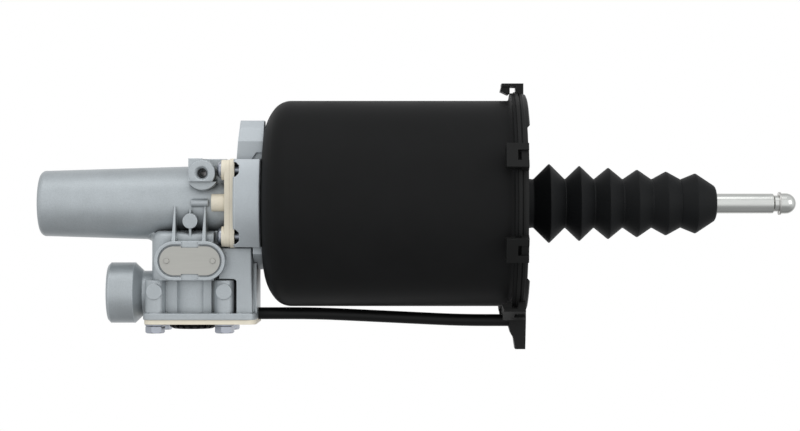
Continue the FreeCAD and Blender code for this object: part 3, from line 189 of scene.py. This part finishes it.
def world_light():
    """A soft sky: bright above and in front, greyer below. The camera, metal and glass see plain white behind."""
    world = bpy.data.worlds.new("studio")
    scene.world = world
    world.use_nodes = True
    t = world.node_tree
    t.nodes.clear()
    coords = t.nodes.new("ShaderNodeTexCoord")
    split = t.nodes.new("ShaderNodeSeparateXYZ")
    t.links.new(coords.outputs["Generated"], split.inputs[0])
    up = span(t, split.outputs["Z"], -0.85, 0.02, 0.37, 0.87)
    front = span(t, split.outputs["Y"], 0.95, -0.1, 0.30, 1.0)
    sky = t.nodes.new("ShaderNodeBackground")
    sky.inputs["Color"].default_value = SKY_COLOUR
    t.links.new(maths(t, "MULTIPLY", up, front), sky.inputs["Strength"])
    white = t.nodes.new("ShaderNodeBackground")
    white.inputs["Color"].default_value = (1, 1, 1, 1)
    path = t.nodes.new("ShaderNodeLightPath")
    mirrored = maths(t, "MAXIMUM", path.outputs["Is Glossy Ray"], path.outputs["Is Transmission Ray"])
    behind = span(t, split.outputs["Y"], 0.3, 1.0, 0.0, 1.0)
    shown = maths(t, "MAXIMUM", path.outputs["Is Camera Ray"], maths(t, "MULTIPLY", mirrored, behind))
    mix = t.nodes.new("ShaderNodeMixShader")
    t.links.new(shown, mix.inputs[0])
    t.links.new(sky.outputs[0], mix.inputs[1])
    t.links.new(white.outputs[0], mix.inputs[2])
    out = t.nodes.new("ShaderNodeOutputWorld")
    t.links.new(mix.outputs[0], out.inputs["Surface"])


def pale_floor():
    """A pale floor far below the part, which fades into the white and throws no light back on the part."""
    mesh = bpy.data.meshes.new("floor")
    corners = [(-1, -1), (1, -1), (1, 1), (-1, 1)]
    mesh.from_pydata([(x * FLOOR_REACH, y * FLOOR_REACH, FLOOR_Z) for x, y in corners], [], [(0, 1, 2, 3)])
    m = bpy.data.materials.new("floor")
    m.use_nodes = True
    t = m.node_tree
    shader = t.nodes["Principled BSDF"]
    shader.inputs["Base Color"].default_value = FLOOR_COLOUR
    shader.inputs["Roughness"].default_value = 0.9
    shader.inputs["Specular IOR Level"].default_value = 0.1
    coords = t.nodes.new("ShaderNodeTexCoord")
    distance = t.nodes.new("ShaderNodeVectorMath")
    distance.operation = "LENGTH"
    t.links.new(coords.outputs["Object"], distance.inputs[0])
    fade = span(t, distance.outputs["Value"], 0.4 * FLOOR_REACH, 0.95 * FLOOR_REACH, 1.0, 0.0)
    t.links.new(fade, shader.inputs["Alpha"])
    mesh.materials.append(m)
    ground = bpy.data.objects.new("floor", mesh)
    ground.visible_diffuse = False
    ground.visible_glossy = False
    ground.visible_transmission = False
    ground.visible_shadow = False
    scene.collection.objects.link(ground)


# Materials

def ramp(t, source, low, high, colour_low, colour_high):
    node = t.nodes.new("ShaderNodeValToRGB")
    for element, position, colour in zip(node.color_ramp.elements, (low, high), (colour_low, colour_high)):
        element.position = position
        element.color = (*colour, 1)
    t.links.new(source, node.inputs["Fac"])
    return node.outputs["Color"]


def noise(t, scale, detail, stretch):
    coords = t.nodes.new("ShaderNodeTexCoord")
    mapping = t.nodes.new("ShaderNodeMapping")
    mapping.inputs["Scale"].default_value = stretch
    t.links.new(coords.outputs["Object"], mapping.inputs["Vector"])
    node = t.nodes.new("ShaderNodeTexNoise")
    node.inputs["Scale"].default_value = scale
    node.inputs["Detail"].default_value = detail
    node.inputs["Roughness"].default_value = 0.6
    t.links.new(mapping.outputs[0], node.inputs["Vector"])
    return node.outputs["Fac"]


def multiplied(t, colour, by, amount):
    node = t.nodes.new("ShaderNodeMix")
    node.data_type = "RGBA"
    node.blend_type = "MULTIPLY"
    node.inputs["Factor"].default_value = amount
    t.links.new(colour, node.inputs["A"])
    t.links.new(by, node.inputs["B"])
    return node.outputs["Result"]


def painted_shade(t, reach, low, high):
    """Painted shade: dark where other surfaces are near, white in the open."""
    node = t.nodes.new("ShaderNodeAmbientOcclusion")
    node.samples = 8
    node.inputs["Distance"].default_value = reach
    return ramp(t, node.outputs["AO"], low, high, PAINTED_SHADE_COLOUR, (1, 1, 1))


def painted_edge_highlight(t, bevelled):
    """Painted highlight: white on sharp outer edges, from how far the bevelled normal leaves the true one."""
    geometry = t.nodes.new("ShaderNodeNewGeometry")
    dot = t.nodes.new("ShaderNodeVectorMath")
    dot.operation = "DOT_PRODUCT"
    t.links.new(geometry.outputs["Normal"], dot.inputs[0])
    t.links.new(bevelled, dot.inputs[1])
    return span(t, dot.outputs["Value"], 0.995, 0.92, 0.0, 1.0)


def surface(name, colour, metallic, roughness, grain=900.0, bump=0.15, vary=0.06, edge=0.0004, crease_shade=0.0,
            crease_shade_reach=0.006, specular=0.5, stretch=(1, 1, 1), mottle=60.0, speckle=0.0, edge_highlight=0.0, outline_shade=0.0,
            hollow_shade=0.0):
    """A procedural finish: mottled colour, uneven sheen, fine grain and soft edges, with painted shade in creases,
    outlines and bores and painted highlights on sharp edges.
    """
    m = bpy.data.materials.new(name)
    m.use_nodes = True
    t = m.node_tree
    shader = t.nodes["Principled BSDF"]
    shader.inputs["Metallic"].default_value = metallic
    shader.inputs["Specular IOR Level"].default_value = specular
    broad = noise(t, mottle, 5.0, stretch)
    fine = noise(t, grain, 3.0, stretch)
    dark = [c * (1 - vary) for c in colour]
    light = [min(1.0, c * (1 + vary)) for c in colour]
    tint = ramp(t, broad, 0.35, 0.68, dark, light)
    if speckle > 0:
        tint = multiplied(t, tint, ramp(t, fine, 0.36, 0.64, [1 - speckle] * 3, [1.0] * 3), 1.0)
    # Painted shade: the colour is darkened where neighbouring surfaces are near, in broad creases, thin outlines and
    # deep bores
    if crease_shade > 0:
        tint = multiplied(t, tint, painted_shade(t, crease_shade_reach, 0.05, 0.85), crease_shade)
    if outline_shade > 0:
        tint = multiplied(t, tint, painted_shade(t, OUTLINE_SHADE_REACH, 0.25, 0.78), outline_shade)
    if hollow_shade > 0:
        tint = multiplied(t, tint, painted_shade(t, HOLLOW_SHADE_REACH, 0.09, 0.30), hollow_shade)
    sheen = t.nodes.new("ShaderNodeMapRange")
    sheen.inputs["To Min"].default_value = roughness - SHEEN_SPREAD
    sheen.inputs["To Max"].default_value = roughness + SHEEN_SPREAD
    t.links.new(broad, sheen.inputs["Value"])
    t.links.new(sheen.outputs[0], shader.inputs["Roughness"])
    relief = t.nodes.new("ShaderNodeBump")
    relief.inputs["Strength"].default_value = bump
    relief.inputs["Distance"].default_value = GRAIN_DEPTH
    t.links.new(fine, relief.inputs["Height"])
    if edge > 0:
        bevel = t.nodes.new("ShaderNodeBevel")
        bevel.samples = 4
        bevel.inputs["Radius"].default_value = edge
        t.links.new(bevel.outputs[0], relief.inputs["Normal"])
        # Painted highlight: the colour is lightened on sharp outer edges
        if edge_highlight > 0:
            edge_highlight_mix = t.nodes.new("ShaderNodeMix")
            edge_highlight_mix.data_type = "RGBA"
            t.links.new(maths(t, "MULTIPLY", painted_edge_highlight(t, bevel.outputs[0]), edge_highlight), edge_highlight_mix.inputs["Factor"])
            t.links.new(tint, edge_highlight_mix.inputs["A"])
            edge_highlight_mix.inputs["B"].default_value = (*[min(1.0, c * 1.55 + 0.01) for c in colour], 1)
            tint = edge_highlight_mix.outputs["Result"]
    t.links.new(tint, shader.inputs["Base Color"])
    t.links.new(relief.outputs[0], shader.inputs["Normal"])
    return m


def make_materials():
    # Besides each finish's own colour, the settings for creases, outlines and bores paint shade into it, and the
    # setting for sharp edges paints highlights on them
    return {
        "cast": surface("cast_alloy", (0.495, 0.53, 0.55), 0.60, 0.42, grain=1500, bump=0.30, vary=0.05,
                        edge=0.0008, crease_shade=0.45, speckle=0.10, edge_highlight=0.8, outline_shade=0.9, hollow_shade=0.9),
        "casting": surface("mounting_alloy", (0.50, 0.535, 0.56), 0.60, 0.42, grain=1500, bump=0.22, vary=0.04,
                           edge=0.0008, crease_shade=0.55, crease_shade_reach=0.005, speckle=0.06, edge_highlight=0.8, outline_shade=0.8),
        "cream": surface("cream_coat", (0.945, 0.865, 0.705), 0.0, 0.5, grain=1600, bump=0.12, vary=0.05,
                         crease_shade=0.35, crease_shade_reach=0.003, speckle=0.04, outline_shade=0.4),
        "zinc": surface("bright_zinc", (0.44, 0.46, 0.51), 1.0, 0.26, grain=500, bump=0.08, edge=0.0003,
                        crease_shade=0.6, crease_shade_reach=0.004),
        "black_steel": surface("satin_black_coat", (0.0112, 0.0112, 0.0113), 0.0, 0.55, grain=1500, bump=0.10,
                               vary=0.08, edge=0.0006, specular=0.08, mottle=30),
        "black_plastic": surface("black_moulding", (0.0095, 0.0095, 0.0092), 0.0, 0.50, grain=2200, bump=0.14,
                                 vary=0.10, edge=0.0005, specular=0.17, crease_shade=0.8, crease_shade_reach=0.005,
                                 edge_highlight=0.6, outline_shade=0.6),
        "tube": surface("tube_plastic", (0.0045, 0.0045, 0.0045), 0.0, 0.42, grain=1800, bump=0.06, vary=0.1,
                        edge=0.0, specular=0.22),
        "boot": surface("boot_rubber", (0.0040, 0.0045, 0.0050), 0.0, 0.58, grain=2500, bump=0.12, vary=0.12,
                        edge=0.0, specular=0.20, crease_shade=0.8, crease_shade_reach=0.008),
        "rod": surface("ground_rod", (0.66, 0.665, 0.64), 1.0, 0.16, grain=600, bump=0.05, vary=0.04,
                       edge=0.0003, stretch=(1, 8, 8)),
        "brass": surface("dull_brass", (0.42, 0.29, 0.15), 1.0, 0.38, grain=700, bump=0.08, vary=0.08,
                         edge=0.0002),
        "ring": surface("ring_steel", (0.60, 0.59, 0.57), 1.0, 0.32, grain=700, bump=0.08, vary=0.08,
                        edge=0.0002, crease_shade=0.6, crease_shade_reach=0.002),
        "plate": surface("plate_alloy", (0.475, 0.468, 0.435), 0.35, 0.42, bump=0.05, vary=0.03, edge=0.0002,
                         stretch=(1, 20, 20), outline_shade=0.8),
        "inner": surface("turned_steel", (0.52, 0.53, 0.55), 1.0, 0.35, grain=600, bump=0.08, vary=0.05),
        "seal": surface("seal_rubber", (0.02, 0.02, 0.02), 0.0, 0.55, grain=2000, bump=0.08, vary=0.1),
        "silencer": surface("silencer_plastic", (0.0045, 0.0045, 0.0045), 0.0, 0.5, grain=2000, vary=0.1,
                            specular=0.14, crease_shade=0.6, crease_shade_reach=0.003),
    }


FINISH = {
    "servo_housing": "cast", "mounting_casting": "casting", "joint_flange": "cream", "spacer_plate": "cream",
    "joint_screws": "zinc", "joint_oring": "seal", "cylinder_shell": "black_steel", "shell_screws": "zinc",
    "front_cover": "black_plastic", "vent_tube": "tube", "push_rod": "rod", "rod_tip_ring": "ring",
    "power_piston": "casting", "ball_retainer": "inner", "piston_lip_seal": "seal", "piston_guide_ring": "seal",
    "plunger": "inner", "plunger_cup_seal": "seal", "plunger_guide_bush": "brass", "preload_spring": "inner",
    "air_sleeve": "inner", "pilot_piston": "brass", "pilot_seals": "seal", "valve_seat": "brass",
    "inlet_valve": "brass", "valve_guide": "brass", "pilot_spring": "inner", "inlet_spring": "inner",
    "valve_base_plate": "cream", "valve_screws": "zinc", "exhaust_silencer": "silencer", "exhaust_flap": "seal",
    "name_plate": "plate", "name_plate_rivets": "plate", "bellows": "boot",
}


def dress_nodes(mats):
    for name, key in FINISH.items():
        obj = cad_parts[name]
        obj.data.materials.clear()
        obj.data.materials.append(mats[key])


# Mesh helpers

def new_piece(name, verts, faces, material, sharp):
    """A mesh object with outward normals, smooth but for edges sharper than an angle in degrees."""
    mesh = bpy.data.meshes.new(name)
    mesh.from_pydata(verts, [], faces)
    work = bmesh.new()
    work.from_mesh(mesh)
    bmesh.ops.recalc_face_normals(work, faces=work.faces)
    work.to_mesh(mesh)
    work.free()
    for p in mesh.polygons:
        p.use_smooth = True
    mesh.set_sharp_from_angle(angle=math.radians(sharp))
    mesh.materials.append(material)
    obj = bpy.data.objects.new(name, mesh)
    scene.collection.objects.link(obj)
    return obj


def skin(rows, ring):
    """Points and faces of closed sections set one after another, in a ring or with an end face at each end."""
    count = len(rows[0])
    faces = []
    for i in range(len(rows) if ring else len(rows) - 1):
        here = i * count
        there = (i + 1) % len(rows) * count
        for k in range(count):
            m = (k + 1) % count
            faces.append((here + k, there + k, there + m, here + m))
    if not ring:
        last = (len(rows) - 1) * count
        faces += [tuple(range(count)), tuple(range(last, last + count))]
    return [p for row in rows for p in row], faces


def turned(profile, steps):
    """A closed run of (x, r) points turned about the X axis."""
    rows = []
    for i in range(steps):
        a = 2 * math.pi * i / steps
        rows.append([(x, r * math.cos(a), r * math.sin(a)) for x, r in profile])
    return skin(rows, True)


def on_axis(points, origin, axis):
    """Points (along, side, up) about an axis that starts at an origin."""
    forward = Vector(axis).normalized()
    side = forward.orthogonal().normalized()
    up = forward.cross(side)
    return [Vector(origin) + forward * a + side * b + up * c for a, b, c in points]


def rounded(points, radius, steps=4):
    """An open run of (x, r) points with its inner corners rounded off."""
    made = [points[0]]
    for before, here, after in zip(points, points[1:], points[2:]):
        p = Vector(here)
        a = Vector(before) - p
        b = Vector(after) - p
        cut = min(radius, a.length * 0.4, b.length * 0.4)
        start = p + a.normalized() * cut
        end = p + b.normalized() * cut
        for i in range(steps + 1):
            u = i / steps
            q = start * (1 - u) ** 2 + p * 2 * u * (1 - u) + end * u ** 2
            made.append((q.x, q.y))
    made.append(points[-1])
    return made


# Bellows

def boot_side(inset, slant_inset):
    """Cuff, valleys and apexes up to the last valley, drawn inwards."""
    points = [(COVER_FACE - 0.002, CUFF_R - inset), (COVER_FACE + 0.0014, CUFF_R - inset)]
    for i, x in enumerate(VALLEYS):
        points.append((x, VALLEY_R - inset))
        if i + 1 < len(VALLEYS):
            points.append(((x + VALLEYS[i + 1]) / 2, APEX_R[i] - slant_inset))
    return points


def boot_pieces(material):
    """The bellows in two moulded stretches, the folds and the nose; the folds ride on the housing."""
    outer = rounded(boot_side(0.0, 0.0), FOLD_ROUNDING)
    inner = rounded(boot_side(WALL, SLANT_WALL), INNER_ROUNDING)
    folds = new_piece("bellows_folds", *turned(outer + inner[::-1], 192), material, 40)
    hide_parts("bellows")
    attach(folds, "housing")
    last = VALLEYS[-1]
    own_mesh(folds)

    seam = last + SEAM_GAP
    outer = rounded([(seam, VALLEY_R), (LAST_APEX, APEX_R[-1]), (NOSE_X, NOSE_R), (NOSE_X + 0.0008, NOSE_R - 0.0016),
                     (END_X, NOSE_R - 0.0028), (END_X, HOLE_R)], FOLD_ROUNDING)
    inner = rounded([(seam, VALLEY_R - WALL), (LAST_APEX, APEX_R[-1] - SLANT_WALL), (END_X - LIP, NOSE_R - 0.0006),
                     (END_X - LIP, HOLE_R)], INNER_ROUNDING)
    nose = new_piece("bellows_nose", *turned(outer + inner[::-1], 192), material, 40)
    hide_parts("bellows")
    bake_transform(nose)


# Springs

def spring(name, node, material, origin, axis, mean_r, wire_r, turns, length, joint, anchor, keep):
    """A round-wire coil from the middle of its first wire to the middle of its last."""
    steps = 64 * turns
    around = 14
    rise = length / turns / (2 * math.pi)
    rows = []
    for i in range(steps + 1):
        a = 2 * math.pi * turns * i / steps
        out = Vector((0, math.cos(a), math.sin(a)))
        along = Vector((rise, -mean_r * math.sin(a), mean_r * math.cos(a))).normalized()
        across = along.cross(out)
        middle = Vector((length * i / steps, 0, 0)) + out * mean_r
        row = []
        for k in range(around):
            b = 2 * math.pi * k / around
            row.append(middle + out * (wire_r * math.cos(b)) + across * (wire_r * math.sin(b)))
        rows.append(row)
    points, faces = skin(rows, False)
    coil = new_piece(name, on_axis(points, origin, axis), faces, material, 50)
    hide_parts(node)
    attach(coil, "housing")
    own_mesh(coil)


# Small details of the housing

def housing_detail(name, points, faces, material, sharp):
    piece = new_piece(name, points, faces, material, sharp)
    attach(piece, "housing")


def thread(name, material, origin, axis, core_r, pitch, length, height):
    """The helical ridge of a tapped hole, from its mouth inwards, with its foot just inside the wall."""
    steps = 56
    half = 0.42 * pitch
    foot_r = core_r + RIDGE_SUNK
    count = int(length / pitch * steps)
    rows = []
    for i in range(count + 1):
        u = i / steps
        a = 2 * math.pi * u
        crest_r = core_r - height * min(1.0, u, (count - i) / steps)
        rows.append([(u * pitch + shift, r * math.cos(a), r * math.sin(a))
                     for shift, r in ((-half, foot_r), (0.0, crest_r), (half, foot_r))])
    points, faces = skin(rows, False)
    housing_detail(name, on_axis(points, origin, axis), faces, material, 30)


def bleed_port_land(material):
    """A flat machined land with a rounded rim on the face of the bleed port's boss."""
    profile = [(-SUNK, LAND_INNER_R), (LAND_HEIGHT, LAND_INNER_R), (LAND_HEIGHT, LAND_OUTER_R - LAND_ROUNDING)]
    for i in range(1, 5):
        a = math.pi / 2 * i / 4
        profile.append((LAND_HEIGHT - LAND_ROUNDING * (1 - math.cos(a)),
                        LAND_OUTER_R - LAND_ROUNDING * (1 - math.sin(a))))
    profile.append((-SUNK, LAND_OUTER_R))
    points, faces = turned(profile, 72)
    points = on_axis(points, LAND_CENTRE, (0, -1, 0))
    for p in points:
        p.z = max(p.z, LAND_LOWEST_Z)
    housing_detail("bleed_port_land", points, faces, material, 35)


def chest_seam_fillet(material):
    """The cast fillet in the corner between the barrel's underside and the left wall of the valve chest."""
    half_rows = 22
    arc = 10
    foot_r = BARREL_R - FILLET_SUNK
    rows = []
    for j in range(-half_rows, half_rows + 1):
        share = j / half_rows
        a = FILLET_SPREAD * share
        size = 0.00005 + FILLET_R * (1 - abs(share) ** 3)
        section = [(FILLET_ROOT, BARREL_R + size)]
        for i in range(arc + 1):
            b = math.pi / 2 * i / arc
            section.append((-size * (1 - math.cos(b)), BARREL_R + size * (1 - math.sin(b))))
        section += [(-size, foot_r), (FILLET_ROOT, foot_r)]
        row = []
        for x, r in section:
            r += BARREL_TAPER * x
            row.append((CHEST_WALL_X + x, r * math.sin(a), -r * math.cos(a)))
        rows.append(row)
    housing_detail("chest_seam_fillet", *skin(rows, False), material, 50)


def main():
    place_camera()
    world_light()
    pale_floor()
    for lamp in LAMPS:
        area_light(*lamp)
    mats = make_materials()
    dress_nodes(mats)
    boot_pieces(mats["boot"])
    for name, node, *values in SPRINGS:
        spring(name, node, mats["inner"], *values)
    chest_seam_fillet(mats["cast"])
    bleed_port_land(mats["cast"])
    for name, *values in THREADS:
        thread(name, mats["cast"], *values)


main()
